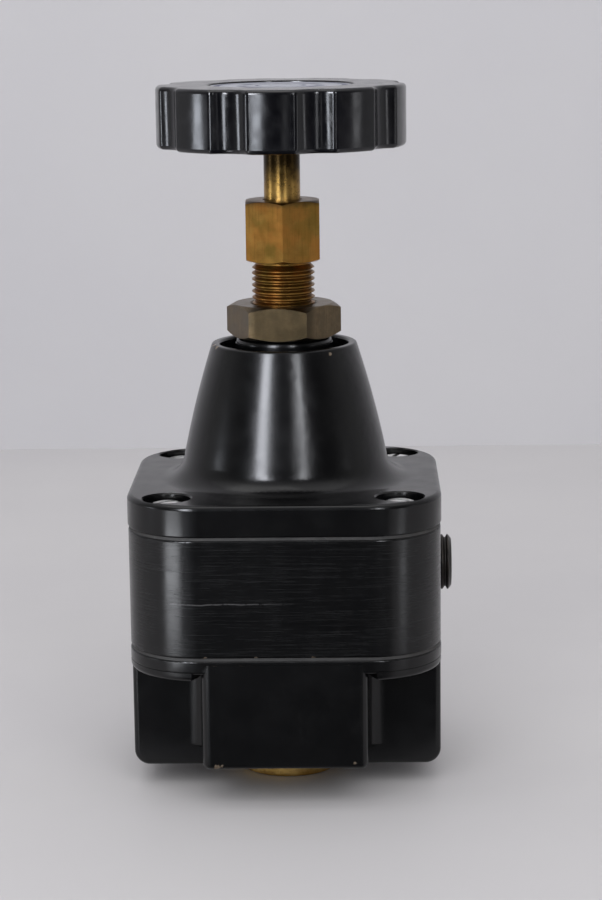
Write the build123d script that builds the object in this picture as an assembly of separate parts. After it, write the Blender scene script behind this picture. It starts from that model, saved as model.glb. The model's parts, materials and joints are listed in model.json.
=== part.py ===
from build123d import *
import math
import os

# Square-bodied two-stage air pressure regulator.
# Millimetres. Z is the spring axis, pointing up to the handwheel. The origin is the centre of the
# bottom plug's flat face, which the regulator stands on. -Y is the blank front, +Y the back,
# +X the side with the plugged port.
# Prefixes: Z_ height, R_ radius, W_ half width, AF_ hexagon across flats, P_ thread pitch,
# TURN_ rotation about Z in degrees. Numbers in turned outlines are (radius, z).

os.makedirs("parts", exist_ok=True)

# ---------------------------------------------------------------- driving dimensions
# stack heights
Z_BOSS_BOTTOM = 5.8          # underside of the two port bosses, seat of the bottom plug
Z_PANEL_BOTTOM = 10.4        # underside of the front and back panels
Z_CORNER_BOTTOM = 32.3       # underside of the screw bosses at the corners
Z_RIM_BOTTOM = 34.0          # underside of the lower body's rim
Z_JOINT_LOW = 37.8           # middle of the lower diaphragm joint
Z_JOINT_TOP = 67.4           # middle of the upper diaphragm joint
Z_FLANGE_TOP = 75.54         # top of the bonnet flange
T_DIAPHRAGM = 0.7
Z_RIM_TOP = Z_JOINT_LOW - T_DIAPHRAGM / 2
Z_MID_BOTTOM = Z_JOINT_LOW + T_DIAPHRAGM / 2
Z_MID_TOP = Z_JOINT_TOP - T_DIAPHRAGM / 2
Z_BONNET_BOTTOM = Z_JOINT_TOP + T_DIAPHRAGM / 2

# square outlines: half widths and corner radii
W_MID, R_MID = 38.1, 17.6
W_RIM, R_RIM = 38.2, 18.0
W_FLANGE, R_FLANGE = 38.3, 18.4
W_PANEL = 20.0               # half width of the front and back panels
W_PORT = 19.9                # half width of the port bosses

# casting screws
SCREW_XY = 28.04             # distance of each screw from the X and Y axes
R_SCREW_CLEAR = 2.6
R_SCREW_DIAPHRAGM = 2.7      # screw holes in the diaphragms
R_SCREW = 2.4
R_SCREW_TAP = 2.45
R_SCREW_HEAD = 3.8
R_CBORE = 5.8
Z_CBORE = 71.3
Z_HEAD_TOP = 74.7
Z_SCREW_END = 33.2
QUADRANTS = [(-1, -1), (-1, 1), (1, -1), (1, 1)]
# quadrant of each screw and the turn of its slot
SCREW_SLOTS = [(-1, -1, 35), (1, -1, -28), (1, 1, 70), (-1, 1, 10)]

# bonnet tower
Z_TOWER_TOP = 109.2
R_TOWER_RIM_IN = 16.1
R_TOWER_FILLET = 6.3
Z_GROOVE = 103.2
R_NECK = 11.9
Z_NUT_SEAT = 110.8
Z_CEILING = 100.0            # top of the spring chamber
R_CHAMBER = 27.5             # diaphragm chambers above and below the control diaphragm

# gland bushing and jam nut
R_BUSH_THREAD = 7.75
P_BUSH = 1.5
AF_BUSH = 18.1
TURN_BUSH_HEX = 31.5
Z_BUSH_BOTTOM = 103.0
Z_BUSH_HEX = 129.55
Z_BUSH_TOP = 144.56
R_BUSH_BORE = 4.0
AF_JAM = 24.7
TURN_JAM_HEX = -5.5
Z_JAM_TOP = 119.06

# stem and its snap ring
R_STEM = 4.48
R_STEM_THREAD = 3.95
P_STEM = 1.058
Z_STEM_THREAD_TOP = 134.0
Z_STEM_END = 98.0
Z_STEM_SHOULDER = 160.9      # foot of the square end
Z_STEM_TOP = 167.2
W_STEM_SQUARE = 3.15
Z_RING_GROOVE = (100.4, 101.55)
R_RING_GROOVE = 3.1

# handwheel
Z_WHEEL_BOTTOM = 157.64
Z_WHEEL_TOP = 172.75
R_WHEEL = 30.65
N_FLUTES = 9
TURN_FLUTES = 17.2           # first flute, measured from the front
R_FLUTE = 7.0
D_FLUTE = 2.1                # depth of each flute
R_LOBE = 1.8                 # rounding between flute and rim
R_WHEEL_EDGE = 1.1
R_WHEEL_HOLLOW = 23.2
R_WHEEL_HUB = 9.0
Z_WHEEL_HOLLOW = 166.6
Z_RIB_BOTTOM = 159.5
W_RIB = 1.2
R_LABEL = 17.9
Z_LABEL_FLOOR = 171.7
T_LABEL = 0.65
Z_WHEEL_SCREW_SEAT = 168.2
R_WHEEL_SCREW = 1.95

# control diaphragm and range spring
BORE_FIT = 0.05              # radial clearance of a bore on the piece inside it
R_PLATE = 17.0               # plates clamping the control and relay diaphragms
Z_CONTROL_SPRING = (69.6, 94.4)
R_SPRING_GUIDE = 10.3        # shoulders inside the range spring
R_BALL, Z_BALL = 2.38, 97.4
R_STUD = 3.0
Z_STUD_SHOULDER = 65.3
Z_CONTROL_NUT = (72.2, 75.2)

# nozzle, between the control chamber and the relay
R_NOZZLE = 4.0
Z_NOZZLE_WASHER = (60.0, 60.6)
Z_NOZZLE_HEAD_TOP = 61.7

# relay
R_SPOOL = 5.0
Z_RELAY_SHEET = (50.0, 50.6)  # upper relay diaphragm
Z_RELAY_PLATE_TOP = 51.8
Z_RELAY_NUT_TOP = 53.9
Z_EXHAUST = 44.6             # height of the radial exhaust holes

# ports and passages
R_PORT = 7.35                # wall of the 3/8 pipe-thread ports
L_PORT = 15.0
Z_PORT = 20.0
R_SIDE_PORT = 6.3
Z_SIDE_PORT = 52.65
X_SIDE_PORT_END = 30.0
L_SIDE_PLUG = 11.2
SIDE_PLUG_OUT = 3.25         # how far the side plug stands out of the middle body
PILOT_XY = (-33.6, 0.0)      # pilot supply passage
SENSING_XY = (0.0, -33.6)    # output sensing passage
R_PASSAGE = 1.2

# supply valve and bottom plug
R_VALVE_STEM = 2.2           # lower stem
R_VALVE_PIN = 1.6            # upper stem, through the seat
Z_VALVE_SPRING = (9.0, 17.3)
R_PLUG = 10.88
Z_PLUG_GROOVE = (10.4, 12.4)


# ---------------------------------------------------------------- helpers
def rod(radius, z0, z1, x=0.0, y=0.0):
    """Cylinder along Z."""
    return Pos(x, y, (z0 + z1) / 2) * Cylinder(radius, z1 - z0)


def rod_x(radius, x0, x1, z):
    """Cylinder along X, at y = 0."""
    return Pos((x0 + x1) / 2, 0, z) * Rot(0, 90, 0) * Cylinder(radius, abs(x1 - x0))


def rod_y(radius, y0, y1, z):
    """Cylinder along Y, at x = 0."""
    return Pos(0, (y0 + y1) / 2, z) * Rot(90, 0, 0) * Cylinder(radius, y1 - y0)


def turned(*points):
    """Solid of revolution about Z from a closed (radius, z) outline."""
    wire = Polyline(*[(radius, 0, z) for radius, z in points], close=True)
    return revolve(make_face(wire), Axis.Z, 360)


def block(x0, x1, y0, y1, z0, z1):
    return Pos((x0 + x1) / 2, (y0 + y1) / 2, (z0 + z1) / 2) * Box(x1 - x0, y1 - y0, z1 - z0)


def plate(half, radius, z0, z1):
    """Square plate with rounded corners."""
    outline = Plane.XY.offset(z0) * RectangleRounded(2 * half, 2 * half, radius)
    return extrude(outline, z1 - z0)


def hex_head(flats, z0, z1, turn, slope=0.5, chamfer_low=False):
    """Hexagonal prism with its upper, and optionally lower, corners chamfered.
    Two flats face along Y at turn 0."""
    polygon = RegularPolygon(flats / 2, 6, major_radius=False, rotation=0)
    prism = extrude(Plane.XY.offset(z0) * (Rot(0, 0, turn) * polygon), z1 - z0)
    r_in = flats / 2 * 0.985
    r_out = flats / math.sqrt(3) + 0.6
    rise = (r_out - r_in) * slope
    low = [(r_in, z0), (r_out, z0 + rise)] if chamfer_low else [(r_out, z0)]
    return prism & turned((0, z0), *low, (r_out, z1 - rise), (r_in, z1), (0, z1))


def hex_nut(bore, flats, z0, z1, turn, slope=0.5, chamfer_low=False):
    return hex_head(flats, z0, z1, turn, slope, chamfer_low) - rod(bore, z0 - 1, z1 + 1)


def thread_points(radius, depth, pitch, z0, z1):
    """Zigzag outline, upwards from z0 to z1, of ridges spaced at the thread's pitch."""
    points = []
    for i in range(int((z1 - z0) / pitch)):
        z = z0 + i * pitch
        points += [(radius, z + 0.10 * pitch), (radius - depth, z + 0.44 * pitch),
                   (radius - depth, z + 0.56 * pitch), (radius, z + 0.90 * pitch)]
    return points


def coil(r_mean, r_wire, z0, z1, turns_live, turns_dead=1.0):
    """Compression spring between z0 and z1 with closed, ground ends."""
    inset = r_wire * 0.55        # wire centre above the ground end
    pitch_dead = 2.02 * r_wire
    rise = (z1 - z0) - 2 * inset
    pitch_live = (rise - 2 * turns_dead * pitch_dead) / turns_live
    total = 2 * turns_dead + turns_live
    steps = int(total * 14)
    points = []
    for i in range(steps + 1):
        turn = total * i / steps
        live = min(max(turn - turns_dead, 0), turns_live)
        z = (turn - live) * pitch_dead + live * pitch_live
        angle = 2 * math.pi * turn
        points.append((r_mean * math.cos(angle), r_mean * math.sin(angle), z0 + inset + z))
    path = Spline(*points)
    profile = Plane(origin=path @ 0, z_dir=path % 0) * Circle(r_wire)
    return sweep(profile, path=path) & rod(r_mean + 3 * r_wire, z0, z1)


def screw_holes(radius, z0, z1):
    return [rod(radius, z0, z1, sx * SCREW_XY, sy * SCREW_XY) for sx, sy in QUADRANTS]


def cut(body, tools):
    """Subtract the tools one after another."""
    for tool in tools:
        body = body - tool
    return body


def diaphragm(z0, z1, bore):
    """Square sheet with a central hole and the four screw holes."""
    sheet = plate(W_MID - 0.15, R_MID - 0.1, z0, z1) - rod(bore, z0 - 5, z1 + 5)
    return cut(sheet, screw_holes(R_SCREW_DIAPHRAGM, z0 - 5, z1 + 5))


def edges_at(part, z, r_min=0.0, r_max=1e9):
    """Edges lying in the plane z whose midpoints are between two radii."""
    found = []
    for edge in part.edges():
        box = edge.bounding_box()
        if abs(box.min.Z - z) < 1e-4 and abs(box.max.Z - z) < 1e-4:
            middle = edge @ 0.5
            if r_min <= math.hypot(middle.X, middle.Y) <= r_max:
                found.append(edge)
    return found


# ---------------------------------------------------------------- handwheel group
def handwheel():
    r_flute_centres = R_WHEEL - D_FLUTE + R_FLUTE
    outline = Circle(R_WHEEL)
    for i in range(N_FLUTES):
        angle = math.radians(TURN_FLUTES + i * 360 / N_FLUTES)
        x, y = r_flute_centres * math.sin(angle), -r_flute_centres * math.cos(angle)
        outline = outline - Pos(x, y) * Circle(R_FLUTE)
    outline = fillet(outline.vertices(), R_LOBE)
    body = extrude(Plane.XY.offset(Z_WHEEL_BOTTOM) * outline, Z_WHEEL_TOP - Z_WHEEL_BOTTOM)
    body = fillet(edges_at(body, Z_WHEEL_TOP) + edges_at(body, Z_WHEEL_BOTTOM), R_WHEEL_EDGE)
    # hollow underside with a hub and six ribs
    hollow = rod(R_WHEEL_HOLLOW, Z_WHEEL_BOTTOM, Z_WHEEL_HOLLOW)
    hollow = hollow - rod(R_WHEEL_HUB, Z_WHEEL_BOTTOM - 1, 167)
    for i in range(3):
        rib = block(-25, 25, -W_RIB, W_RIB, Z_RIB_BOTTOM, 167)
        hollow = hollow - Rot(0, 0, 15 + 60 * i) * rib
    body = body - hollow
    body = body - rod(R_LABEL, Z_LABEL_FLOOR, Z_WHEEL_TOP + 1)
    # round and square sockets for the stem, then the screw's hole and head recess
    half = W_STEM_SQUARE + 0.03
    body = body - rod(R_STEM + 0.04, Z_WHEEL_BOTTOM - 1, 161.0)
    body = body - block(-half, half, -half, half, 160.5, Z_STEM_TOP + 0.1)
    body = body - rod(2.3, 167, 169)
    body = body - rod(4.8, Z_WHEEL_SCREW_SEAT, Z_WHEEL_TOP)
    return fillet(edges_at(body, Z_WHEEL_TOP, R_LABEL - 0.2, R_LABEL + 0.2), 0.35)


def handwheel_screw():
    seat = Z_WHEEL_SCREW_SEAT
    head = turned((0, seat), (4.1, seat), (4.1, 169.6), (3.7, 170.3), (2.6, 170.8), (0, 171.0))
    shank = rod(R_WHEEL_SCREW, 157.5, seat + 0.1)
    slot = block(-4.5, 4.5, -0.5, 0.5, 169.7, 171.5)
    return head + shank - slot


def handwheel_label():
    top = Z_LABEL_FLOOR + T_LABEL
    disc = rod(R_LABEL - 0.12, Z_LABEL_FLOOR, top)
    return chamfer(edges_at(disc, top), 0.2)


def adjusting_stem():
    groove_low, groove_high = Z_RING_GROOVE
    body = turned(
        (0, Z_STEM_END), (3.4, Z_STEM_END), (R_STEM_THREAD, Z_STEM_END + 0.55),
        (R_STEM_THREAD, groove_low), (R_RING_GROOVE, groove_low),
        (R_RING_GROOVE, groove_high), (R_STEM_THREAD, groove_high), (R_STEM_THREAD, 102.4),
        *thread_points(R_STEM_THREAD, 0.42, P_STEM, 102.5, 132.6),
        (R_STEM_THREAD - 0.5, 132.9), (R_STEM_THREAD - 0.5, 133.6),
        (R_STEM, Z_STEM_THREAD_TOP + 0.4), (R_STEM, Z_STEM_SHOULDER), (0, Z_STEM_SHOULDER))
    half = W_STEM_SQUARE
    body = body + block(-half, half, -half, half, Z_STEM_SHOULDER - 0.1, Z_STEM_TOP)
    body = body - rod(R_WHEEL_SCREW + BORE_FIT, 156.5, 168)
    # conical socket for the thrust ball
    low = Z_STEM_END - 0.5
    return body - turned((0, Z_STEM_END + 2.8), (0, low), (3.3, low))


def stem_snap_ring():
    groove_low, groove_high = Z_RING_GROOVE
    ring = rod(5.6, groove_low + 0.15, groove_high - 0.15) - rod(R_RING_GROOVE + 0.02, 100, 102)
    gap = block(-1.3, 1.3, 2.4, 6.5, 100, 102)
    return ring - gap


def gland_bushing():
    low, hex_low = Z_BUSH_BOTTOM, Z_BUSH_HEX
    r_relief = R_BUSH_THREAD - 0.95
    body = turned(
        (R_BUSH_BORE, low), (R_BUSH_THREAD - 0.9, low), (R_BUSH_THREAD - 0.1, low + 0.8),
        *thread_points(R_BUSH_THREAD, 0.86, P_BUSH, low + 1.0, hex_low - 0.9),
        (r_relief, hex_low - 0.75), (r_relief, hex_low + 0.1), (R_BUSH_BORE, hex_low + 0.1))
    body = body + hex_nut(R_BUSH_BORE, AF_BUSH, hex_low, Z_BUSH_TOP, TURN_BUSH_HEX,
                          slope=0.45, chamfer_low=True)
    body = body - rod(R_STEM + 0.08, 122.4, Z_BUSH_TOP + 1)
    return chamfer(edges_at(body, Z_BUSH_TOP, 4.3, 4.7), 0.35)


def panel_jam_nut():
    nut = hex_nut(R_BUSH_THREAD + 0.04, AF_JAM, Z_NUT_SEAT, Z_JAM_TOP, TURN_JAM_HEX,
                  slope=0.55, chamfer_low=True)
    rings = edges_at(nut, Z_JAM_TOP, 7.5, 8.0) + edges_at(nut, Z_NUT_SEAT, 7.5, 8.0)
    return chamfer(rings, 0.7)


# ---------------------------------------------------------------- spring chamber
def thrust_ball():
    return Pos(0, 0, Z_BALL) * Sphere(R_BALL)


def spring_button():
    guide, seat = R_SPRING_GUIDE, Z_CONTROL_SPRING[1]
    body = turned((0, 91.0), (9.6, 91.0), (guide, 91.7), (guide, seat), (14.0, seat),
                  (14.0, 96.2), (13.4, 96.8), (0, 96.8))
    socket = turned((0, 94.0), (3.3, 97.3), (0, 97.3))
    return body - socket


def range_spring():
    return coil(12.0, 1.2, *Z_CONTROL_SPRING, turns_live=3.6)


def control_plate_upper():
    bore, guide = R_STUD + BORE_FIT, R_SPRING_GUIDE
    low, seat, top = Z_BONNET_BOTTOM, Z_CONTROL_SPRING[0], Z_CONTROL_NUT[0]
    return turned((bore, low), (R_PLATE, low), (R_PLATE, seat - 0.4), (R_PLATE - 0.4, seat),
                  (guide, seat), (guide, top - 0.6), (guide - 0.6, top), (bore, top))


def control_plate_lower():
    bore, low = R_STUD + BORE_FIT, Z_STUD_SHOULDER
    return turned((bore, low), (16.0, low), (R_PLATE, 66.2), (R_PLATE, Z_MID_TOP),
                  (bore, Z_MID_TOP))


def flapper_stud():
    return turned((0, 63.2), (4.6, 63.2), (4.9, 63.5), (4.9, Z_STUD_SHOULDER),
                  (R_STUD, Z_STUD_SHOULDER), (R_STUD, 75.5), (2.6, 75.9), (0, 75.9))


def control_diaphragm_nut():
    return hex_nut(R_STUD + BORE_FIT, 9.5, *Z_CONTROL_NUT, turn=12)


def control_diaphragm():
    return diaphragm(Z_MID_TOP, Z_BONNET_BOTTOM, R_STUD + BORE_FIT)


# ---------------------------------------------------------------- bonnet
def bonnet_tower():
    """Solid tower whose side is an arc tapering up to the rim."""
    low = Z_FLANGE_TOP - 2
    axis_low, axis_top = (0, 0, low), (0, 0, Z_TOWER_TOP)
    foot, arc_start = (26.45, 0, low), (26.42, 0, Z_FLANGE_TOP - 0.4)
    rim = (17.95, 0, Z_TOWER_TOP)
    sides = [Line(axis_low, foot), Line(foot, arc_start),
             ThreePointArc(arc_start, (22.35, 0, 94.0), rim),
             Line(rim, axis_top), Line(axis_top, axis_low)]
    return revolve(make_face(Curve() + sides), Axis.Z, 360)


def bonnet():
    flange = plate(W_FLANGE, R_FLANGE, Z_BONNET_BOTTOM, Z_FLANGE_TOP)
    flange = fillet(edges_at(flange, Z_FLANGE_TOP), 1.3)
    flange = fillet(edges_at(flange, Z_BONNET_BOTTOM), 0.45)
    body = flange + bonnet_tower()
    body = fillet(edges_at(body, Z_FLANGE_TOP, 25.5, 27.5), R_TOWER_FILLET)
    # annular groove round the nut seat
    above = Z_TOWER_TOP + 3
    body = body - turned(
        (R_NECK, above), (R_NECK + 0.35, Z_GROOVE + 1.2), (R_NECK + 1.5, Z_GROOVE),
        (R_TOWER_RIM_IN - 1.3, Z_GROOVE), (R_TOWER_RIM_IN - 0.3, Z_GROOVE + 1.2),
        (R_TOWER_RIM_IN, above))
    body = fillet(edges_at(body, Z_TOWER_TOP, R_TOWER_RIM_IN - 0.5, 18.5), 0.7)
    neck = turned((0, Z_TOWER_TOP - 2), (R_NECK, Z_TOWER_TOP - 2), (R_NECK, Z_NUT_SEAT),
                  (0, Z_NUT_SEAT))
    neck = fillet(edges_at(neck, Z_NUT_SEAT), 1.5)
    body = body + neck
    # spring chamber
    below = Z_BONNET_BOTTOM - 1
    body = body - turned(
        (0, below), (R_CHAMBER, below), (R_CHAMBER, 70.3), (24.4, 72.6), (22.4, 79.1),
        (20.2, 88.0), (17.4, 97.0), (16.0, Z_CEILING), (0, Z_CEILING))
    body = body - rod(R_BUSH_THREAD + BORE_FIT, 95, 115)
    # counterbored screw holes
    for sx, sy in QUADRANTS:
        body = body - rod(R_CBORE, Z_CBORE, 80, sx * SCREW_XY, sy * SCREW_XY)
        body = body - rod(R_SCREW_CLEAR, 60, 80, sx * SCREW_XY, sy * SCREW_XY)
    reach = R_CBORE + 0.3
    rings = [e for e in edges_at(body, Z_FLANGE_TOP)
             if abs(abs((e @ 0.5).X) - SCREW_XY) < reach
             and abs(abs((e @ 0.5).Y) - SCREW_XY) < reach
             and e.geom_type == GeomType.CIRCLE]
    body = chamfer(rings, 0.35)
    # breather hole at the back
    return body - rod_y(1.6, 12, 32, z=84)


def bonnet_screws():
    screws = []
    for sx, sy, slot_turn in SCREW_SLOTS:
        head = turned((0, Z_CBORE), (R_SCREW_HEAD, Z_CBORE), (R_SCREW_HEAD, Z_HEAD_TOP - 0.75),
                      (R_SCREW_HEAD - 0.35, Z_HEAD_TOP - 0.4), (2.2, Z_HEAD_TOP - 0.08),
                      (0, Z_HEAD_TOP))
        shank = rod(R_SCREW, Z_SCREW_END, Z_CBORE + 0.2)
        shank = chamfer(edges_at(shank, Z_SCREW_END), 0.5)
        slot = block(-5, 5, -0.6, 0.6, Z_HEAD_TOP - 1.7, Z_HEAD_TOP + 1)
        screw = head + shank - Rot(0, 0, slot_turn) * slot
        screws.append(Pos(sx * SCREW_XY, sy * SCREW_XY, 0) * screw)
    return Compound(children=[screw.solids()[0] for screw in screws])


# ---------------------------------------------------------------- middle body
def mid_body():
    body = plate(W_MID, R_MID, Z_MID_BOTTOM, Z_MID_TOP)
    body = fillet(edges_at(body, Z_MID_BOTTOM) + edges_at(body, Z_MID_TOP), 0.5)
    # control chamber, pilot chamber, relay chamber, nozzle hole
    body = body - rod(R_CHAMBER, Z_NOZZLE_WASHER[0], 70)
    body = body - rod(22.0, 50.0, 55.0)
    body = body - rod(29.0, 30.0, Z_RELAY_SHEET[1])
    body = body - rod(R_NOZZLE + BORE_FIT, 50, 65)
    body = cut(body, screw_holes(R_SCREW_CLEAR, 30, 70))
    # side port with its passage to the pilot chamber
    body = body - rod_x(R_SIDE_PORT, X_SIDE_PORT_END, 40, Z_SIDE_PORT)
    body = body - rod_x(1.5, 18, 32, Z_SIDE_PORT)
    # pilot supply up through the orifice, and output pressure up to the sensing chamber
    body = body - rod(R_PASSAGE, 30, Z_SIDE_PORT + 1, *PILOT_XY)
    body = body - rod(1.95, 30, 45.0, *PILOT_XY)
    body = body - rod_x(R_PASSAGE, -34, -21, Z_SIDE_PORT)
    body = body - rod(R_PASSAGE, 30, 63.0, *SENSING_XY)
    body = body - rod_y(R_PASSAGE, -34, -26, z=62.3)
    # exhaust to atmosphere at the back
    return body - rod_y(2.4, 27, 41, Z_EXHAUST)


def side_port_plug():
    """Pipe plug lying along X, with a hexagon socket in its outer end."""
    r_body = R_SIDE_PORT - 0.1
    r_ridge = R_SIDE_PORT + 0.62     # two ridges round the outer end
    r_valley = r_ridge - 0.75
    body = turned(
        (0, 0), (R_SIDE_PORT - 1.0, 0), (r_body, 0.7), (r_body, 8.0),
        (r_valley, 8.25), (r_ridge, 8.75), (r_ridge, 9.05), (r_valley, 9.55),
        (r_valley, 9.75), (r_ridge, 10.2), (r_ridge, 10.45),
        (r_ridge - 1.0, L_SIDE_PLUG), (0, L_SIDE_PLUG))
    hexagon = RegularPolygon(3.2, 6, major_radius=False)
    body = body - extrude(Plane.XY.offset(L_SIDE_PLUG - 4.5) * hexagon, 6)
    return Pos(W_MID + SIDE_PLUG_OUT - L_SIDE_PLUG, 0, Z_SIDE_PORT) * Rot(0, 90, 0) * body


def nozzle():
    seat, top = Z_NOZZLE_WASHER[1], Z_NOZZLE_HEAD_TOP
    body = hex_head(9.4, seat, top, turn=20) + rod(R_NOZZLE, 55.2, seat + 0.1)
    body = body + turned((0, top - 0.1), (2.4, top - 0.1), (1.5, top + 0.9), (0, top + 0.9))
    return body - rod(0.6, 50, 70)


def nozzle_washer():
    return rod(5.4, *Z_NOZZLE_WASHER) - rod(R_NOZZLE + BORE_FIT, 59, 62)


def restriction_orifice():
    x, y = PILOT_XY
    slot = block(x - 3, x + 3, y - 0.3, y + 0.3, 39, 40.4)
    return rod(1.92, 39.6, 44.9, x, y) - rod(0.3, 38, 46, x, y) - slot


def orifice_screen():
    x, y = PILOT_XY
    disc = rod(1.9, 38.3, 39.2, x, y)
    for degrees in range(0, 360, 60):
        angle = math.radians(degrees)
        disc = disc - rod(0.25, 38, 40, x + math.cos(angle), y + math.sin(angle))
    return disc


# ---------------------------------------------------------------- relay
def exhaust_ring():
    r_in, r_waist, r_out = 21.5, 26.6, 28.9
    low, top = Z_MID_BOTTOM, Z_RELAY_SHEET[0]
    body = turned((r_in, low), (r_out, low), (r_out, 42.0), (r_waist, 42.0), (r_waist, 47.2),
                  (r_out, 47.2), (r_out, top), (r_in, top))
    for i in range(6):
        body = body - Rot(0, 0, 30 + 60 * i) * rod_x(1.6, 19, 29, Z_EXHAUST)
    return body


def relay_diaphragm_upper():
    return rod(28.8, *Z_RELAY_SHEET) - rod(R_SPOOL + BORE_FIT, 49, 52)


def relay_diaphragm_lower():
    sheet = diaphragm(Z_RIM_TOP, Z_MID_BOTTOM, R_SPOOL + BORE_FIT)
    return cut(sheet, [rod(1.5, 30, 45, x, y) for x, y in (PILOT_XY, SENSING_XY)])


def cross_drill(body, radius):
    """Exhaust holes along X and Y."""
    return cut(body, [Rot(0, 0, turn) * rod_x(radius, -10, 10, Z_EXHAUST) for turn in (0, 90)])


def relay_spool():
    body = turned(
        (2.2, 35.25), (3.4, 35.25), (4.2, 35.7), (16.4, 35.7), (R_PLATE, 36.2),
        (R_PLATE, Z_RIM_TOP), (R_SPOOL, Z_RIM_TOP), (R_SPOOL, 54.1), (0, 54.1), (0, 46.5),
        (2.2, 46.5))
    return cross_drill(body, 1.3)


def relay_spacer():
    bore, r_waist = R_SPOOL + BORE_FIT, 8.2
    low, top = Z_MID_BOTTOM, Z_RELAY_SHEET[0]
    body = turned(
        (bore, low), (R_PLATE, low), (R_PLATE, 39.2), (16.5, 39.7), (r_waist, 39.7),
        (r_waist, 48.5), (16.5, 48.5), (R_PLATE, 49.0), (R_PLATE, top), (bore, top))
    return cross_drill(body, 1.5)


def relay_plate_upper():
    bore, low, top = R_SPOOL + BORE_FIT, Z_RELAY_SHEET[1], Z_RELAY_PLATE_TOP
    return turned((bore, low), (R_PLATE, low), (R_PLATE, top - 0.5), (R_PLATE - 0.5, top),
                  (bore, top))


def relay_nut():
    return hex_nut(R_SPOOL + BORE_FIT, 14.0, Z_RELAY_PLATE_TOP, Z_RELAY_NUT_TOP, turn=8,
                   slope=0.4)


# ---------------------------------------------------------------- lower body
def port_bar(top):
    """Bar along X that carries the two port bosses."""
    bar = block(-W_MID, W_MID, -W_PORT, W_PORT, Z_BOSS_BOTTOM, top)
    ends = [e for e in bar.edges().filter_by(Axis.Y)
            if abs((e @ 0.5).Z - Z_BOSS_BOTTOM) < 1e-3]
    bar = fillet(ends, 3.8)
    sides = [e for e in bar.edges()
             if abs(abs((e @ 0.5).Y) - W_PORT) < 1e-3 and (e @ 0.5).Z < top - 1e-3]
    return fillet(sides, 1.4)


def panel_cross(top):
    """Cross of panels and ports above the panels' underside."""
    half_y = W_MID + 0.3
    cross = Rectangle(2 * W_MID, 2 * W_PORT) + Rectangle(2 * W_PANEL, 2 * half_y)
    inner = [v for v in cross.vertices()
             if abs(v.X) < W_PANEL + 0.1 and abs(v.Y) < W_PORT + 0.1]
    cross = fillet(inner, 4.3)
    cross = fillet([v for v in cross.vertices() if abs(v.Y) > half_y - 0.1], 2.1)
    cross = fillet([v for v in cross.vertices() if abs(v.X) > W_MID - 0.1], 1.4)
    core = extrude(Plane.XY.offset(Z_PANEL_BOTTOM) * cross, top - Z_PANEL_BOTTOM)
    return fillet(edges_at(core, Z_PANEL_BOTTOM), 1.3)


def corner_bosses():
    """Four screw bosses under the rim's corners."""
    top = Z_RIM_BOTTOM + 0.5
    bosses = plate(W_RIM, R_RIM, Z_CORNER_BOTTOM, top)
    rounds = [rod(11.2, Z_CORNER_BOTTOM - 1, top, sx * 31.0, sy * 31.0) for sx, sy in QUADRANTS]
    bosses = bosses & sum(rounds[1:], rounds[0])
    return fillet(edges_at(bosses, Z_CORNER_BOTTOM), 1.3)


def lower_body():
    core_top = Z_RIM_TOP - 1
    core = panel_cross(core_top) + port_bar(core_top)
    rim = plate(W_RIM, R_RIM, Z_RIM_BOTTOM, Z_RIM_TOP)
    rim = fillet(edges_at(rim, Z_RIM_BOTTOM), 0.9)
    rim = fillet(edges_at(rim, Z_RIM_TOP), 0.45)
    body = core + rim + corner_bosses()
    # chambers: under the relay, round the valve, bottom plug's bore, valve seat's bore
    body = body - rod(24.0, 28.0, 40)
    body = body - rod(10.5, 12, 22.0)
    body = body - rod(R_PLUG + 0.07, 0, 13.8)
    body = body - rod(7.0, 20, 30)
    # outlet on +X, inlet on -X, each with a flared mouth
    for side in (1, -1):
        body = body - rod_x(R_PORT, side * (W_MID - L_PORT), side * (W_MID + 1), Z_PORT)
        mouth = Cone(R_PORT, R_PORT + 1.4, 1.4)
        body = body - Pos(side * (W_MID - 0.6), 0, Z_PORT) * Rot(0, 90 * side, 0) * mouth
    # outlet passage up to the relay chamber, and inlet passage to the valve
    body = body - rod_x(5.4, 15, 24, Z_PORT)
    body = body - rod(5.0, Z_PORT, 29, x=18.0)
    body = body - rod_x(4.4, -24, -8, z=17.6)
    # screws, pilot supply and sensing passages
    body = cut(body, screw_holes(R_SCREW_TAP, 30, 40))
    body = body - rod(R_PASSAGE, Z_PORT, 40, *PILOT_XY)
    body = body - rod(R_PASSAGE, 30, 40, *SENSING_XY)
    return body - rod_y(R_PASSAGE, -34.5, -21.5, z=31.2)


def valve_seat():
    return turned((3.4, 21.2), (4.6, 21.2), (4.6, 22.0), (6.95, 22.0), (6.95, 28.6),
                  (6.3, 29.2), (4.2, 29.2), (3.4, 28.4))


def supply_valve():
    tip = Pos(0, 0, 33.33) * Sphere(2.9)
    stem, pin = R_VALVE_STEM, R_VALVE_PIN
    body = turned(
        (0, 5.4), (1.9, 5.4), (stem, 5.7), (stem, 10.0), (1.55, 10.0), (1.55, 11.2),
        (stem, 11.2), (stem, 17.35), (5.3, 17.35), (5.6, 17.65), (5.6, 19.3), (pin, 19.3),
        (pin, 33.0), (0, 33.0))
    return body + tip


def valve_disc():
    bore = R_VALVE_PIN + BORE_FIT
    return turned((bore, 19.32), (5.5, 19.32), (5.5, 20.9), (5.2, 21.18), (bore, 21.18))


def valve_stem_oring():
    return Pos(0, 0, 10.6) * Torus(1.98, 0.3)


def valve_spring():
    return coil(4.5, 0.42, *Z_VALVE_SPRING, turns_live=3.5)


def inlet_screen():
    """Tube with three staggered rows of twelve holes."""
    body = rod(9.5, 13.7, 21.9) - rod(9.0, 13, 23)
    for row in range(3):
        for i in range(12):
            hole = rod_x(0.7, 7.5, 10.5, 15.6 + 2.2 * row)
            body = body - Rot(0, 0, 30 * i + 15 * (row % 2)) * hole
    return body


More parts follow.
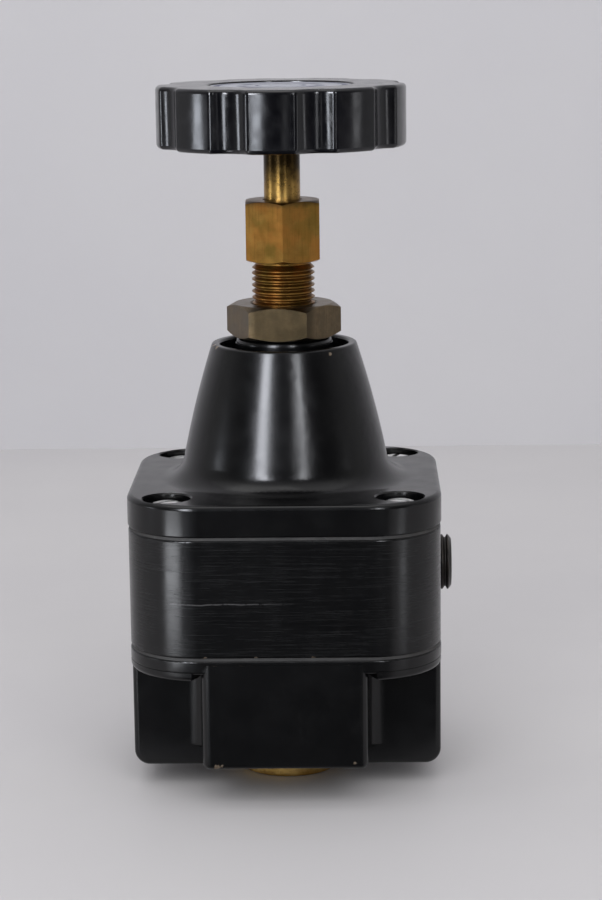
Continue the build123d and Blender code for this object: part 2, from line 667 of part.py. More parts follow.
def bottom_plug():
    groove_low, groove_high = Z_PLUG_GROOVE
    bore, floor = R_VALVE_STEM + 0.08, Z_VALVE_SPRING[0]
    body = turned(
        (0, 0), (11.5, 0), (12.3, 0.35), (12.7, 1.2), (12.7, 5.3), (12.4, Z_BOSS_BOTTOM),
        (R_PLUG, Z_BOSS_BOTTOM), (R_PLUG, groove_low), (9.3, groove_low), (9.3, groove_high),
        (R_PLUG, groove_high), (R_PLUG, 13.2), (10.5, 13.6), (6.2, 13.6), (6.2, floor),
        (3.5, floor), (3.5, 12.6), (bore, 12.6), (bore, 3.6), (0, 3.6))
    # two blind holes in the flat face
    return cut(body, [rod(1.7, -1, 3.0, y=side * 7.6) for side in (1, -1)])


def bottom_plug_oring():
    return Pos(0, 0, sum(Z_PLUG_GROOVE) / 2) * Torus(10.13, 0.78)


# each function is named after its file
PARTS = [
    handwheel, handwheel_screw, handwheel_label, adjusting_stem, stem_snap_ring, gland_bushing,
    panel_jam_nut, thrust_ball, spring_button, range_spring, control_plate_upper,
    control_plate_lower, flapper_stud, control_diaphragm_nut, control_diaphragm, bonnet,
    bonnet_screws, mid_body, side_port_plug, nozzle, nozzle_washer, restriction_orifice,
    orifice_screen, exhaust_ring, relay_diaphragm_upper, relay_diaphragm_lower, relay_spool,
    relay_spacer, relay_plate_upper, relay_nut, lower_body, valve_seat, supply_valve,
    valve_disc, valve_stem_oring, valve_spring, inlet_screen, bottom_plug, bottom_plug_oring,
]

for build in PARTS:
    part = build()
    part.label = build.__name__
    export_step(part, f"parts/{part.label}.step")
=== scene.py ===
"""Looks, stage and camera for a pneumatic regulator with a handwheel.

The object stands upright along +Z, round its axis at X = Y = 0, with its front towards -Y.
From the bottom up, its housing is the lower body, the middle body and the bonnet.
Blender works in metres. Names and comments give millimetres (mm) where those are used.
"""
import json
import math
from functools import cached_property, reduce
from operator import or_
import bmesh
import bpy
from mathutils import Matrix, Vector

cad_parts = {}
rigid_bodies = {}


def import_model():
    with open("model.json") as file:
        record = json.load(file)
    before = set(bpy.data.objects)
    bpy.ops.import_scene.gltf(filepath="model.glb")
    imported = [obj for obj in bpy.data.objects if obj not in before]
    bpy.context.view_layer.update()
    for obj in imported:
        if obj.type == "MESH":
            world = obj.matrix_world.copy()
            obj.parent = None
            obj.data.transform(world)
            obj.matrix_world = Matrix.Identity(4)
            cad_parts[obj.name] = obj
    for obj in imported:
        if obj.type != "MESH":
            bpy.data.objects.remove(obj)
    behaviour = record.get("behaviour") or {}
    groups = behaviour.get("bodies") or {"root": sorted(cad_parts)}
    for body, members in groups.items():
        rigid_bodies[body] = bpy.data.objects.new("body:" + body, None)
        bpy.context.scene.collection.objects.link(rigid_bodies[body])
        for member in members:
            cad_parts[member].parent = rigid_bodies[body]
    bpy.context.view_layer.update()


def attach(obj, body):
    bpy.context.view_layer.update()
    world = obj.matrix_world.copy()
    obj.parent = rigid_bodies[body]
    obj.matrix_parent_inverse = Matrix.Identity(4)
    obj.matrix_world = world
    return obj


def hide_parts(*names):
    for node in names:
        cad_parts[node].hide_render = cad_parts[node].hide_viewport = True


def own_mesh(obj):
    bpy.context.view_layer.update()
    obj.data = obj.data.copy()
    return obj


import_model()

MM = 0.001


# ============================================================== shader nodes
def srgb(*channels):
    """0-255 display values to a linear colour with alpha."""
    linear = []
    for value in channels:
        value /= 255.0
        linear.append(value / 12.92 if value <= 0.04045 else ((value + 0.055) / 1.055) ** 2.4)
    return tuple(linear) + (1.0,)


class Signal:
    """A node output that takes part in sums like a number. a | b is the larger of two."""

    def __init__(self, nodes, socket):
        self.nodes = nodes
        self.socket = socket

    def __add__(self, other):
        return self.nodes.math("ADD", self, other)

    def __sub__(self, other):
        return self.nodes.math("SUBTRACT", self, other)

    def __rsub__(self, other):
        return self.nodes.math("SUBTRACT", other, self)

    def __mul__(self, other):
        return self.nodes.math("MULTIPLY", self, other)

    def __truediv__(self, other):
        return self.nodes.math("DIVIDE", self, other)

    def __or__(self, other):
        return self.nodes.math("MAXIMUM", self, other)

    def __abs__(self):
        return self.nodes.math("ABSOLUTE", self)

    def step(self, off, on, low=0.0, high=1.0):
        """Smooth step: low where the value is at off, high where it is at on."""
        if off > on:
            off, on, low, high = on, off, high, low
        limits = {"From Min": off, "From Max": on, "To Min": low, "To Max": high}
        return self.nodes.node("MapRange", {"Value": self, **limits},
                               interpolation_type="SMOOTHSTEP")

    def between(self, start, end):
        """A number that goes from start to end as this mask goes from 0 to 1."""
        return self.nodes.node("Mix", {0: self, 2: start, 3: end}, data_type="FLOAT")

    def mix(self, under, over, amount=None):
        """Lay the colour over on the colour under, where this mask is 1."""
        mask = self if amount is None else self * amount
        return self.nodes.node("Mix", {0: mask, 6: under, 7: over}, output=2, data_type="RGBA")


class Nodes:
    """An emptied node tree. Node inputs may be signals or plain values."""

    def __init__(self, tree):
        self.tree = tree
        tree.nodes.clear()

    def add(self, kind, inputs, **settings):
        node = self.tree.nodes.new("ShaderNode" + kind)
        for key, value in settings.items():
            setattr(node, key, value)
        for key, value in inputs.items():
            if isinstance(value, Signal):
                self.tree.links.new(value.socket, node.inputs[key])
            else:
                node.inputs[key].default_value = value
        return node

    def node(self, kind, inputs={}, output=0, **settings):
        return Signal(self, self.add(kind, inputs, **settings).outputs[output])

    def math(self, operation, *operands):
        return self.node("Math", dict(enumerate(operands)), operation=operation)

    def split(self, vector):
        return [Signal(self, socket) for socket in self.add("SeparateXYZ", {0: vector}).outputs]


class Material(Nodes):
    """A node material whose textures are laid out in object millimetres."""

    def __init__(self, name):
        self.material = bpy.data.materials.new(name)
        self.material.use_nodes = True
        super().__init__(self.material.node_tree)
        place = self.node("TexCoord", output="Object")
        self.mm = self.vector("MULTIPLY", place, (1 / MM,) * 3)

    @cached_property
    def axes(self):
        """X, Y and Z, split once and only where a material needs them."""
        return self.split(self.mm)

    def radius(self):
        """Distance from the Z axis."""
        x, y, _ = self.axes
        return self.math("SQRT", x * x + y * y)

    def vector(self, operation, a, b, output=0):
        return self.node("VectorMath", {0: a, 1: b}, output, operation=operation)

    def noise(self, scale, detail=3.0, rough=0.5, place=None):
        return self.node("TexNoise", {"Vector": place or self.mm, "Scale": scale,
                                      "Detail": detail, "Roughness": rough})

    def stretched(self, x, y, z, detail, rough):
        """Noise over a place that is already scaled along each axis."""
        place = self.node("CombineXYZ", {0: x, 1: y, 2: z})
        return self.noise(scale=1.0, detail=detail, rough=rough, place=place)

    def streaks(self, xy_scale, z_scale, detail=3, rough=0.6):
        """Streaks, level where z_scale is the larger and upright where xy_scale is."""
        x, y, z = self.axes
        return self.stretched(x * xy_scale, y * xy_scale, z * z_scale, detail, rough)

    def turning(self, radial_scale, z_scale, detail, rough):
        """Lathe marks round Z."""
        z = self.axes[2]
        return self.stretched(self.radius() * radial_scale, 0.0, z * z_scale, detail, rough)

    def occlusion(self, reach, off, on, **settings):
        """Occlusion within reach mm, as a mask."""
        opening = self.node("AmbientOcclusion", {"Distance": reach * MM}, output="AO",
                            samples=4, **settings)
        return (1.0 - opening).step(off=off, on=on)

    def edges(self, reach, off=0.35, on=0.8):
        """1 on convex edges, 0 on flats."""
        return self.occlusion(reach, off, on, inside=True, only_local=True)

    def corners(self, reach):
        """1 in inside corners and under overhangs."""
        return self.occlusion(reach, off=0.3, on=0.9)

    def spots(self, points):
        """1 inside ragged spots, each given as x, y, z and radius in mm."""
        ragged = (self.noise(scale=1.7, detail=4, rough=0.7) - 0.5) * 1.8
        masks = []
        for x, y, z, radius in points:
            distance = self.vector("DISTANCE", self.mm, (x, y, z), output="Value")
            masks.append((distance / radius + ragged).step(off=1.0, on=0.85))
        return reduce(or_, masks)

    def bump(self, height, depth, strength):
        """Surface relief, with depth in mm."""
        return self.node("Bump", {"Height": height, "Distance": depth * MM,
                                  "Strength": strength})

    def principled(self, color, rough, metal, normal, ior=1.5, spec=0.5):
        return self.node("BsdfPrincipled", {
            "Base Color": color, "Roughness": rough, "Metallic": metal, "Normal": normal,
            "Coat Roughness": 0.1, "IOR": ior, "Specular IOR Level": spec})

    def output(self, shader):
        self.add("OutputMaterial", {0: shader})
        return self.material

    def finish(self, *surface, **optics):
        return self.output(self.principled(*surface, **optics))


# ============================================================== enamel
# Chips in the enamel: x, y, z, radius in mm
CHIPS = {
    "cone": [(-17.3, -4.5, 109.2, 0.7), (-16.4, -7.2, 109.2, 0.8), (11.3, -13.9, 108.0, 0.6)],
    "mid": [(-18.97, -38.1, 38.15, 0.55), (-6.75, -38.1, 38.07, 0.5), (6.91, -38.1, 37.97, 0.6),
            (-19.57, -38.1, 68.61, 0.8), (20.3, -38.1, 68.04, 0.7), (13.66, -38.1, 67.85, 0.4)],
    "low": [(-16.6, -38, 11.1, 0.8), (-15.5, -38, 11.4, 0.5), (16.7, -38, 12.1, 0.5),
            (30.0, -38, 12.3, 0.7)],
}
SCRATCH_Z = 51.94


def scratch(m):
    """One long wandering scratch across the left of the front face."""
    x, y, z = m.axes
    wander = m.stretched(x, 0.0, 0.0, detail=2, rough=0.5) if False else m.noise(
        scale=0.12, detail=2, place=m.node("CombineXYZ", {0: x, 1: 0.0, 2: 0.0}))
    offset = abs(z + wander * 0.9 - SCRATCH_Z)
    length = x.step(off=-28.5, on=-26.0) * x.step(off=6.0, on=-14.0)
    line = offset.step(off=0.24, on=0.06) * length * y.step(off=-31.0, on=-34.0)
    return line * m.noise(scale=0.9, rough=0.6).step(off=0.36, on=0.5)


def enamel(name, part):
    """Black enamel on cast aluminium. The part is cone, mid or low."""
    m = Material(name)
    color = m.noise(scale=0.09, detail=4).step(off=0.35, on=0.7).mix(
        srgb(4, 4, 5), srgb(8, 8, 9))
    grain = m.noise(scale=2.2, detail=4, rough=0.6)
    peel = m.noise(scale=0.55)
    cells = m.node("TexVoronoi", {"Vector": m.mm, "Scale": 0.42}, output="Distance")
    pits = cells.step(off=0.09, on=0.05)
    rough = m.noise(scale=0.16, detail=4).step(off=0.3, on=0.75).between(0.2, 0.26)
    height = grain * 0.2 + peel * 0.32 - pits * 0.5
    if part == "mid":
        broad = m.streaks(xy_scale=0.05, z_scale=2.6, detail=4, rough=0.65)
        thin = m.streaks(xy_scale=0.22, z_scale=6.5)
        streaks = broad * 0.6 + thin * 0.4
        height = height * 0.5 + streaks * 1.15
        rough = rough + streaks.step(off=0.4, on=0.65, low=-0.02, high=0.07)
        color = streaks.step(off=0.5, on=0.68).mix(color, srgb(22, 22, 23))
    dust = m.noise(scale=0.35, detail=5, rough=0.65).step(off=0.55, on=0.78)
    color = dust.mix(color, srgb(52, 50, 48), amount=0.06)
    if part == "mid":
        color = scratch(m).mix(color, srgb(120, 120, 122), amount=0.3)

    edge = m.edges(reach=0.55)
    worn = edge * m.noise(scale=0.35, detail=5, rough=0.7).step(off=0.55, on=0.63) * 0.6
    if part == "low":
        # the edges at the foot are worn more
        foot = m.axes[2].step(off=16.0, on=8.0)
        worn = worn | edge * foot * m.noise(scale=0.9, detail=4, rough=0.7).step(
            off=0.56, on=0.62)
    worn = worn | m.spots(CHIPS[part]) * 0.9
    bare = m.noise(scale=1.3).mix(srgb(112, 86, 58), srgb(150, 142, 130))
    normal = m.bump(height - worn * 0.5, depth=0.03, strength=0.55)
    return m.finish(worn.mix(color, bare), worn.between(rough, 0.42), worn * 0.8, normal,
                    spec=0.34)


# ============================================================== other materials
def plastic():
    m = Material("handwheel_plastic")
    color = m.noise(scale=0.12).step(off=0.35, on=0.7).mix(srgb(5, 5, 9), srgb(9, 9, 14))
    scuff = m.noise(scale=0.8, detail=5, rough=0.7).step(off=0.66, on=0.8)
    worn = m.edges(reach=0.5) * m.noise(scale=0.6, detail=4, rough=0.6).step(off=0.5, on=0.65)
    color = scuff.mix(color, srgb(46, 46, 52), amount=0.2)
    color = worn.mix(color, srgb(80, 80, 86), amount=0.35)
    rough = m.noise(scale=0.3, detail=4).step(off=0.35, on=0.75).between(0.14, 0.22)
    height = m.noise(scale=0.5) * 0.5 + m.noise(scale=4.0) * 0.12
    normal = m.bump(height, depth=0.03, strength=0.35)
    return m.finish(color, rough + scuff * 0.15, 0.0, normal, spec=0.42, ior=1.55)


def brass(name, shades, stain, rough, blot=0.55, relief=0.02, detail_marks_and_shade=None):
    """Turned brass, stained and dulled in patches.

    shades and rough are (low, high) pairs, blot is the strength of the stains, relief is in mm,
    and the last argument adds the marks of one piece, and for some pieces painted shade, to the
    colour.
    """
    m = Material(name)
    lines = m.turning(radial_scale=3.0, z_scale=6.0, detail=3, rough=0.6)
    tone = m.noise(scale=0.3, detail=4, rough=0.6)
    color = tone.step(off=0.35, on=0.7).mix(*shades)
    blots = m.noise(scale=0.5, detail=5, rough=0.65).step(off=0.5, on=0.72)
    color = blots.mix(color, stain, amount=blot)
    color = lines.step(off=0.45, on=0.7).mix(color, stain, amount=0.18)
    cavity = m.corners(reach=1.2)
    color = cavity.mix(color, stain, amount=0.75)
    # marks of one piece, and painted shade on the stem and the jam nut
    if detail_marks_and_shade:
        color = detail_marks_and_shade(m, color)
    color = m.edges(reach=0.35).mix(color, shades[1], amount=0.45)
    roughness = tone.step(off=0.3, on=0.7).between(*rough) + cavity * 0.2
    height = lines * 0.6 + m.noise(scale=1.5, detail=4) * 0.4
    return m.finish(color, roughness, 1.0, m.bump(height, depth=relief, strength=0.5))


def stem_top_painted_shade(m, color):
    """Painted shade: nearly black towards the top, just under the handwheel."""
    ragged_z = m.axes[2] + m.noise(scale=0.5) * 3.0
    # painted shade under the handwheel: dark brown up to the top of the stem
    return ragged_z.step(off=147.0, on=155.5, high=0.94).mix(color, srgb(20, 15, 10))


def gland_tone(m, color):
    """Copper and olive casts, upright streaks, a stained top edge and darker threads."""
    z = m.axes[2]
    copper = m.noise(scale=0.16).step(off=0.42, on=0.62)
    color = copper.mix(color, srgb(176, 118, 56), amount=0.55)
    shifted = m.vector("ADD", m.mm, (40.0, 9.0, 3.0))
    olive = m.noise(scale=0.2, place=shifted).step(off=0.45, on=0.65)
    color = olive.mix(color, srgb(104, 96, 40), amount=0.4)
    lines = m.streaks(xy_scale=2.6, z_scale=0.12).step(off=0.5, on=0.72)
    color = lines.mix(color, srgb(84, 60, 30), amount=0.3)
    top = (z + m.noise(scale=0.6, detail=4) * 2.2).step(off=143.8, on=145.6)
    color = top.mix(color, srgb(50, 38, 30), amount=0.6)
    return z.step(off=129.9, on=129.2, high=0.4).mix(color, srgb(66, 44, 22))


def nut_marks_and_front_shade(m, color):
    """Painted shade on the front faces, with upright streaks and one copper-coloured bruise."""
    x, y, _ = m.axes
    # painted shade: the faces towards -Y darkened by position
    front = abs(x).step(off=8.4, on=6.2) * y.step(off=-6.0, on=-9.0)
    color = front.mix(color, srgb(48, 40, 24), amount=0.6)
    lines = m.streaks(xy_scale=2.2, z_scale=0.15).step(off=0.45, on=0.7)
    color = lines.mix(color, srgb(70, 60, 46), amount=0.3)
    return m.spots([(11.5, -8.0, 113.3, 1.2)]).mix(color, srgb(196, 112, 44), amount=0.8)


def steel(name, shades, rough=(0.25, 0.42), spots=srgb(105, 98, 88), grime=0.6):
    """Steel with dull spots; grime is the strength of the dirt in its corners."""
    m = Material(name)
    tone = m.noise(scale=0.5, detail=4, rough=0.6)
    color = tone.step(off=0.35, on=0.7).mix(*shades)
    grit = m.noise(scale=1.1, detail=5, rough=0.7).step(off=0.55, on=0.7)
    color = grit.mix(color, spots, amount=0.35)
    color = m.corners(reach=0.8).mix(color, srgb(48, 44, 40), amount=grime)
    color = m.edges(reach=0.25).mix(color, srgb(235, 233, 228), amount=0.4)
    height = m.noise(scale=6.0) * 0.3 + m.noise(scale=1.2, detail=4) * 0.7
    normal = m.bump(height, depth=0.015, strength=0.5)
    return m.finish(color, tone.between(*rough), 1.0, normal)


def black_oxide():
    m = Material("plug_black_oxide")
    tone = m.noise(scale=0.5, detail=4, rough=0.6)
    color = tone.step(off=0.35, on=0.7).mix(srgb(26, 24, 23), srgb(44, 39, 35))
    edge = m.edges(reach=0.35, off=0.3, on=0.65)
    worn = edge * m.noise(scale=0.7, detail=4, rough=0.6).step(off=0.38, on=0.58)
    color = worn.mix(color, srgb(122, 98, 74), amount=0.8)
    normal = m.bump(m.noise(scale=2.5, detail=4, rough=0.6), depth=0.03, strength=0.6)
    return m.finish(color, tone.between(0.32, 0.5), worn.between(0.35, 0.9), normal)


def aluminium():
    m = Material("turned_aluminium")
    lines = m.turning(radial_scale=5.0, z_scale=5.0, detail=2, rough=0.5)
    color = m.noise(scale=0.25, detail=4).step(off=0.3, on=0.7).mix(
        srgb(178, 178, 180), srgb(212, 212, 214))
    color = m.corners(reach=1.0).mix(color, srgb(92, 90, 86), amount=0.5)
    color = m.edges(reach=0.3).mix(color, srgb(236, 236, 238), amount=0.4)
    normal = m.bump(lines * 0.7 + m.noise(scale=3.0) * 0.3, depth=0.02, strength=0.6)
    return m.finish(color, lines.between(0.24, 0.42), 1.0, normal)


def rubber(name, shades, woven=False):
    m = Material(name)
    tone = m.noise(scale=0.3, detail=4)
    color = tone.step(off=0.3, on=0.7).mix(*shades)
    if woven:
        warp, weft = [m.math("SINE", axis * 9.0) for axis in m.axes[:2]]
        height = warp * weft * 0.5 + m.noise(scale=3.0) * 0.4
    else:
        height = m.noise(scale=3.0, detail=4)
    color = m.edges(reach=0.3).mix(color, srgb(74, 72, 70), amount=0.4)
    bloom = m.noise(scale=1.2, detail=4).step(off=0.6, on=0.75)
    color = bloom.mix(color, srgb(86, 84, 80), amount=0.3)
    normal = m.bump(height, depth=0.04, strength=0.6)
    return m.finish(color, tone.between(0.5, 0.7), 0.0, normal)


def label():
    """Pale disc with two dark-blue rings and, between them, two curved marks."""
    m = Material("label_print")
    radius = m.radius()
    x, y, _ = m.axes

    def ring(inner, outer, soft=0.1):
        """Ring between two radii in mm, with soft borders."""
        return (radius.step(off=inner - soft, on=inner + soft)
                * radius.step(off=outer + soft, on=outer - soft))

    sine = m.math("SINE", m.math("ARCTAN2", y, x))
    marks = ring(inner=9.1, outer=11.3) * abs(sine).step(off=0.25, on=0.3)
    ink = ring(inner=15.0, outer=16.5) | marks | ring(inner=5.5, outer=6.3)
    ink = ink * m.noise(scale=1.6, detail=4, rough=0.7).step(off=0.3, on=0.42)
    plate = m.noise(scale=0.3, detail=4).step(off=0.35, on=0.7).mix(
        srgb(176, 178, 186), srgb(150, 153, 164))
    color = ink.mix(plate, srgb(38, 44, 84))
    grime = m.noise(scale=0.5, detail=5, rough=0.7).step(off=0.5, on=0.72)
    color = grime.mix(color, srgb(92, 90, 92), amount=0.4)
    color = m.edges(reach=0.3).mix(color, srgb(215, 215, 218), amount=0.4)
    rough = m.noise(scale=0.7, detail=4).between(0.3, 0.55)
    height = m.noise(scale=1.1, detail=4) * 0.7 + ink * 0.3
    normal = m.bump(height, depth=0.03, strength=0.4)
    return m.finish(color, rough, (1.0 - ink) * 0.3, normal)


# ============================================================== CAD pieces
def smooth(piece):
    """Weld the imported faces, split at real edges and shade the rest smooth."""
    for polygon in piece.data.polygons:
        polygon.use_smooth = True
    weld = piece.modifiers.new("weld", "WELD")
    weld.merge_threshold = 2e-6
    split = piece.modifiers.new("split", "EDGE_SPLIT")
    split.split_angle = math.radians(28.0)
    split.use_edge_sharp = False
    normals = piece.modifiers.new("wn", "WEIGHTED_NORMAL")
    normals.weight = 80
    normals.mode = "FACE_AREA"


def paint(material, *names):
    for name in names:
        piece = next(o for o in bpy.data.objects
                     if o.type == "MESH" and o.name.split(".")[0] == name)
        piece.data.materials.clear()
        piece.data.materials.append(material)
        smooth(piece)


paint(enamel("bonnet_enamel", "cone"), "bonnet")
paint(enamel("mid_enamel", "mid"), "mid_body")
paint(enamel("lower_enamel", "low"), "lower_body")
paint(plastic(), "handwheel")
paint(label(), "handwheel_label")
paint(brass("stem_brass", shades=(srgb(150, 118, 62), srgb(176, 142, 80)),
            stain=srgb(80, 58, 32), rough=(0.24, 0.34), relief=0.0015, detail_marks_and_shade=stem_top_painted_shade),
      "adjusting_stem")
paint(brass("gland_brass", shades=(srgb(150, 112, 54), srgb(158, 120, 60)),
            stain=srgb(84, 58, 28), rough=(0.3, 0.38), blot=0.15, relief=0.006,
            detail_marks_and_shade=gland_tone), "gland_bushing")
paint(brass("jam_nut_brass", shades=(srgb(98, 86, 66), srgb(114, 98, 74)),
            stain=srgb(70, 52, 36), rough=(0.3, 0.38), blot=0.3, relief=0.01,
            detail_marks_and_shade=nut_marks_and_front_shade), "panel_jam_nut")
paint(brass("plug_brass", shades=(srgb(186, 150, 82), srgb(206, 172, 104)),
            stain=srgb(112, 82, 42), rough=(0.28, 0.42)), "bottom_plug")
paint(brass("inner_brass", shades=(srgb(196, 158, 78), srgb(222, 188, 104)),
            stain=srgb(120, 90, 46), rough=(0.2, 0.36)),
      "nozzle", "restriction_orifice", "exhaust_ring", "relay_spool", "valve_seat",
      "supply_valve")
paint(black_oxide(), "side_port_plug")
paint(steel("screw_steel", shades=(srgb(222, 222, 220), srgb(242, 242, 240)),
            rough=(0.24, 0.36), spots=srgb(170, 166, 160), grime=0.25),
      "bonnet_screws", "handwheel_screw")
paint(steel("inner_steel", shades=(srgb(150, 150, 148), srgb(190, 190, 188))),
      "thrust_ball", "spring_button", "flapper_stud", "control_diaphragm_nut", "relay_nut",
      "stem_snap_ring", "orifice_screen", "inlet_screen", "relay_spacer")
SPRING_STEEL = steel("spring_steel", shades=(srgb(120, 118, 115), srgb(160, 158, 154)),
                     rough=(0.28, 0.45), spots=srgb(92, 70, 50))
paint(SPRING_STEEL, "range_spring", "valve_spring")
paint(aluminium(), "control_plate_upper", "control_plate_lower", "relay_plate_upper")
paint(rubber("diaphragm_rubber", shades=(srgb(34, 33, 32), srgb(48, 47, 46)), woven=True),
      "control_diaphragm", "relay_diaphragm_upper", "relay_diaphragm_lower")
paint(rubber("seal_rubber", shades=(srgb(24, 24, 24), srgb(36, 36, 36))),
      "nozzle_washer", "valve_disc", "valve_stem_oring", "bottom_plug_oring")


# ============================================================== springs
WIRE_SIDES = 16
STEPS_PER_TURN = 48
END_TURNS = 1.0     # closed turns at each end
END_INSET = 0.55    # from an end face to the first centre of the wire, in wire radii
CLOSED_PITCH = 2.02     # in wire radii


def object_from(bm, name):
    mesh = bpy.data.meshes.new(name)
    bm.to_mesh(mesh)
    bm.free()
    piece = bpy.data.objects.new(name, mesh)
    bpy.context.scene.collection.objects.link(piece)
    return piece


def coil_spring(name, node, coil_radius, wire_radius, bottom, top, open_turns):
    """Spring with closed, ground ends, in mm."""
    inset = wire_radius * END_INSET
    closed_pitch = CLOSED_PITCH * wire_radius
    open_height = (top - bottom) - 2 * inset - 2 * END_TURNS * closed_pitch
    open_pitch = open_height / open_turns
    turns = 2 * END_TURNS + open_turns
    steps = int(turns * STEPS_PER_TURN)

    def centre(i):
        """Centre of the wire at one step, and its angle round Z."""
        turn = turns * i / steps
        opened = min(max(turn - END_TURNS, 0.0), open_turns)
        z = bottom + inset + (turn - opened) * closed_pitch + opened * open_pitch
        angle = 2 * math.pi * turn
        return Vector((coil_radius * math.cos(angle), coil_radius * math.sin(angle), z)), angle

    bm = bmesh.new()
    rings = []
    for i in range(steps + 1):
        middle, angle = centre(i)
        along = centre(min(i + 1, steps))[0] - centre(max(i - 1, 0))[0]
        outward = Vector((math.cos(angle), math.sin(angle), 0.0))
        side = along.normalized().cross(outward)
        ring = []
        for k in range(WIRE_SIDES):
            turned = 2 * math.pi * k / WIRE_SIDES
            point = (middle + outward * (wire_radius * math.cos(turned))
                     + side * (wire_radius * math.sin(turned)))
            # grind the ends flat
            point.z = min(max(point.z, bottom), top)
            ring.append(bm.verts.new(point * MM))
        rings.append(ring)
    for ring, following in zip(rings, rings[1:]):
        for k in range(WIRE_SIDES):
            n = (k + 1) % WIRE_SIDES
            bm.faces.new((ring[k], ring[n], following[n], following[k]))
    bm.faces.new(list(reversed(rings[0])))
    bm.faces.new(rings[-1])
    bmesh.ops.recalc_face_normals(bm, faces=bm.faces)
    for face in bm.faces:
        face.smooth = len(face.verts) == 4
    spring = object_from(bm, name)
    spring.data.materials.append(SPRING_STEEL)
    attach(spring, "root")
    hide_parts(node)
    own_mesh(spring)


coil_spring("range_spring_coil", "range_spring", coil_radius=12.0, wire_radius=1.2,
            bottom=69.6, top=94.4, open_turns=3.6)
coil_spring("valve_spring_coil", "valve_spring", coil_radius=4.5, wire_radius=0.42,
            bottom=9.0, top=17.3, open_turns=3.5)

# ============================================================== stage, in metres
STAGE_HALF_WIDTH = 1.4
WALL_Y = 0.432


def sheet(name, y0, y1, cells=2):
    """Flat grid as wide as the stage, from y0 to y1."""
    bm = bmesh.new()
    width = 2 * STAGE_HALF_WIDTH
    rows = [[bm.verts.new((width * i / cells - STAGE_HALF_WIDTH, y0 + (y1 - y0) * j / cells, 0.0))
             for j in range(cells + 1)] for i in range(cells + 1)]
    for i in range(cells):
        for j in range(cells):
            bm.faces.new((rows[i][j], rows[i + 1][j], rows[i + 1][j + 1], rows[i][j + 1]))
    piece = object_from(bm, name)
    return piece


def stage_surface(m, color, rough):
    normal = m.bump(m.noise(scale=0.6, detail=4), depth=0.05, strength=0.2)
    return m.principled(color, rough, 0.0, normal, spec=0.3)


def stage_color(m, *shades):
    return m.noise(scale=0.006, detail=4).step(off=0.3, on=0.7).mix(*shades)


def floor_paper():
    """Pale paper that reflections see as dark in front of the object."""
    m = Material("floor_paper")
    color = stage_color(m, srgb(201, 199, 200), srgb(196, 194, 196))
    glossy = m.node("LightPath", output="Is Glossy Ray")
    x, y, _ = m.axes
    from_front = abs(m.math("ARCTAN2", x, y * -1.0))
    shade = from_front.step(off=0.70, on=0.56) * y.step(off=-22.0, on=-60.0)
    color = (glossy * shade).mix(color, (0.012, 0.012, 0.012, 1.0))
    return m.output(stage_surface(m, color, rough=0.6))


def wall_paint():
    """Pale paint, clear when seen from behind."""
    m = Material("wall_paint")
    color = stage_color(m, srgb(199, 198, 201), srgb(195, 194, 198))
    behind = m.node("NewGeometry", output="Backfacing")
    clear = m.node("BsdfTransparent")
    front = stage_surface(m, color, rough=0.7)
    return m.output(m.node("MixShader", {0: behind, 1: front, 2: clear}))


floor = sheet("floor", y0=-0.9, y1=1.4)
floor.data.materials.append(floor_paper())
wall = sheet("wall", y0=0.0, y1=1.5)
wall.rotation_euler = (math.radians(90), 0, 0)
wall.location = (0, WALL_Y, 0.0)
wall.data.materials.append(wall_paint())


# ============================================================== lights, in metres and watts
def area_light(name, place, target, width, height, power, tint=(1, 1, 1), diffuse=True):
    lamp = bpy.data.lights.new(name, "AREA")
    lamp.shape = "RECTANGLE"
    lamp.size = width
    lamp.size_y = height
    lamp.energy = power
    lamp.color = tint
    light = bpy.data.objects.new(name, lamp)
    light.location = place
    light.rotation_mode = "QUATERNION"
    light.rotation_quaternion = (Vector(target) - Vector(place)).to_track_quat("-Z", "Y")
    light.visible_camera = False
    light.visible_diffuse = diffuse
    bpy.context.scene.collection.objects.link(light)
    return light


area_light("overhead", place=(-0.20, 0.10, 1.30), target=(0.0, 0.05, 0.0),
           width=1.3, height=0.9, power=3.4)
fill = area_light("fill", place=(0.0, -1.15, 0.95), target=(0.0, 0.0, 0.1),
                  width=1.6, height=1.1, power=15.0)
fill.visible_glossy = False

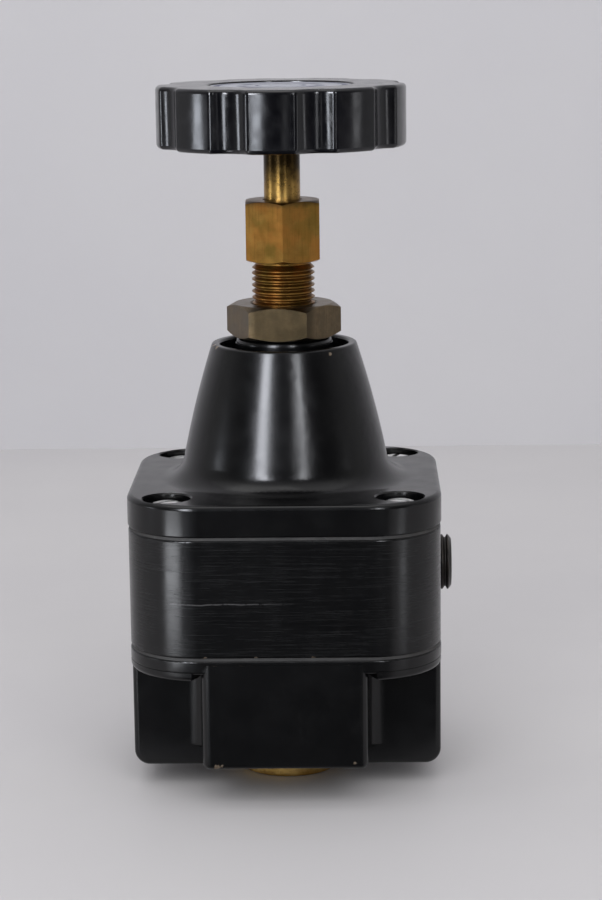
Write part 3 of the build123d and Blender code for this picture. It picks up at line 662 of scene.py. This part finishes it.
# Upright strips, seen only in reflections: name, degrees from the front towards +X,
# distance from the Z axis, width, bottom, top, power, tint
STRIPS = (
    ("left", -26.0, 0.95, 0.20, 0.20, 0.80, 10.0, (0.90, 0.93, 1.0)),
    ("right", 21.0, 0.95, 0.12, 0.20, 0.75, 3.4, (0.93, 0.95, 1.0)),
    ("low_left", -79.0, 0.95, 0.15, 0.06, 0.16, 0.50, (0.86, 0.91, 1.0)),
    ("low_right", 73.0, 0.95, 0.12, 0.06, 0.16, 0.08, (0.95, 0.96, 1.0)),
    ("low_mid", -20.5, 0.95, 0.13, 0.05, 0.17, 0.62, (0.86, 0.91, 1.0)),
    ("low_front", 5.0, 0.95, 0.05, 0.06, 0.16, 0.02, (0.95, 0.96, 1.0)),
    ("low_side", 22.0, 0.95, 0.10, 0.05, 0.14, 0.08, (0.93, 0.95, 1.0)),
    ("corner_left", -42.0, 0.22, 0.075, 0.001, 0.035, 0.085, (0.92, 0.95, 1.0)),
    ("corner_right", 52.0, 0.22, 0.03, 0.001, 0.035, 0.010, (0.92, 0.95, 1.0)),
)
for name, degrees, distance, width, bottom, top, power, tint in STRIPS:
    angle = math.radians(degrees)
    z = (bottom + top) / 2
    area_light("strip_" + name, (distance * math.sin(angle), -distance * math.cos(angle), z),
               (0, 0, z), width, top - bottom, power, tint, diffuse=False)


def studio_world():
    """Even light, but reflections see it dark to the front and brighter behind and above."""
    world = bpy.data.worlds.new("studio")
    bpy.context.scene.world = world
    world.use_nodes = True
    nodes = Nodes(world.node_tree)
    _, y, z = nodes.split(nodes.node("TexCoord", output="Generated"))
    back = y.step(off=-0.80, on=0.10, low=0.012, high=0.42)
    above = z.step(off=0.55, on=0.95, high=0.7)
    glossy = nodes.node("LightPath", output="Is Glossy Ray")
    strength = glossy.between(0.60, back + above)
    light = nodes.node("Background", {"Strength": strength, "Color": (0.985, 0.985, 1.0, 1)})
    nodes.add("OutputWorld", {0: light})


studio_world()

# ============================================================== camera
CAMERA_PLACE = Vector((17.48, -631.04, 202.76)) * MM
# radians: yaw from +Y towards +X, pitch downwards, roll about the view
YAW, PITCH, ROLL = -0.0216, 0.1896, -0.0127

forward = Vector((math.sin(YAW) * math.cos(PITCH), math.cos(YAW) * math.cos(PITCH),
                  -math.sin(PITCH)))
level_right = Vector((math.cos(YAW), -math.sin(YAW), 0))
level_up = level_right.cross(forward)
right = level_right * math.cos(ROLL) + level_up * math.sin(ROLL)
up = -level_right * math.sin(ROLL) + level_up * math.cos(ROLL)
lens = bpy.data.cameras.new("camera")
lens.sensor_width = 36.0
lens.lens = 102.4908
camera = bpy.data.objects.new("camera", lens)
bpy.context.scene.collection.objects.link(camera)
pose = Matrix((right, up, -forward)).transposed().to_4x4()
pose.translation = CAMERA_PLACE
camera.matrix_world = pose
bpy.context.scene.camera = camera

bpy.context.scene.view_settings.view_transform = "Standard"
bpy.context.scene.view_settings.look = "None"
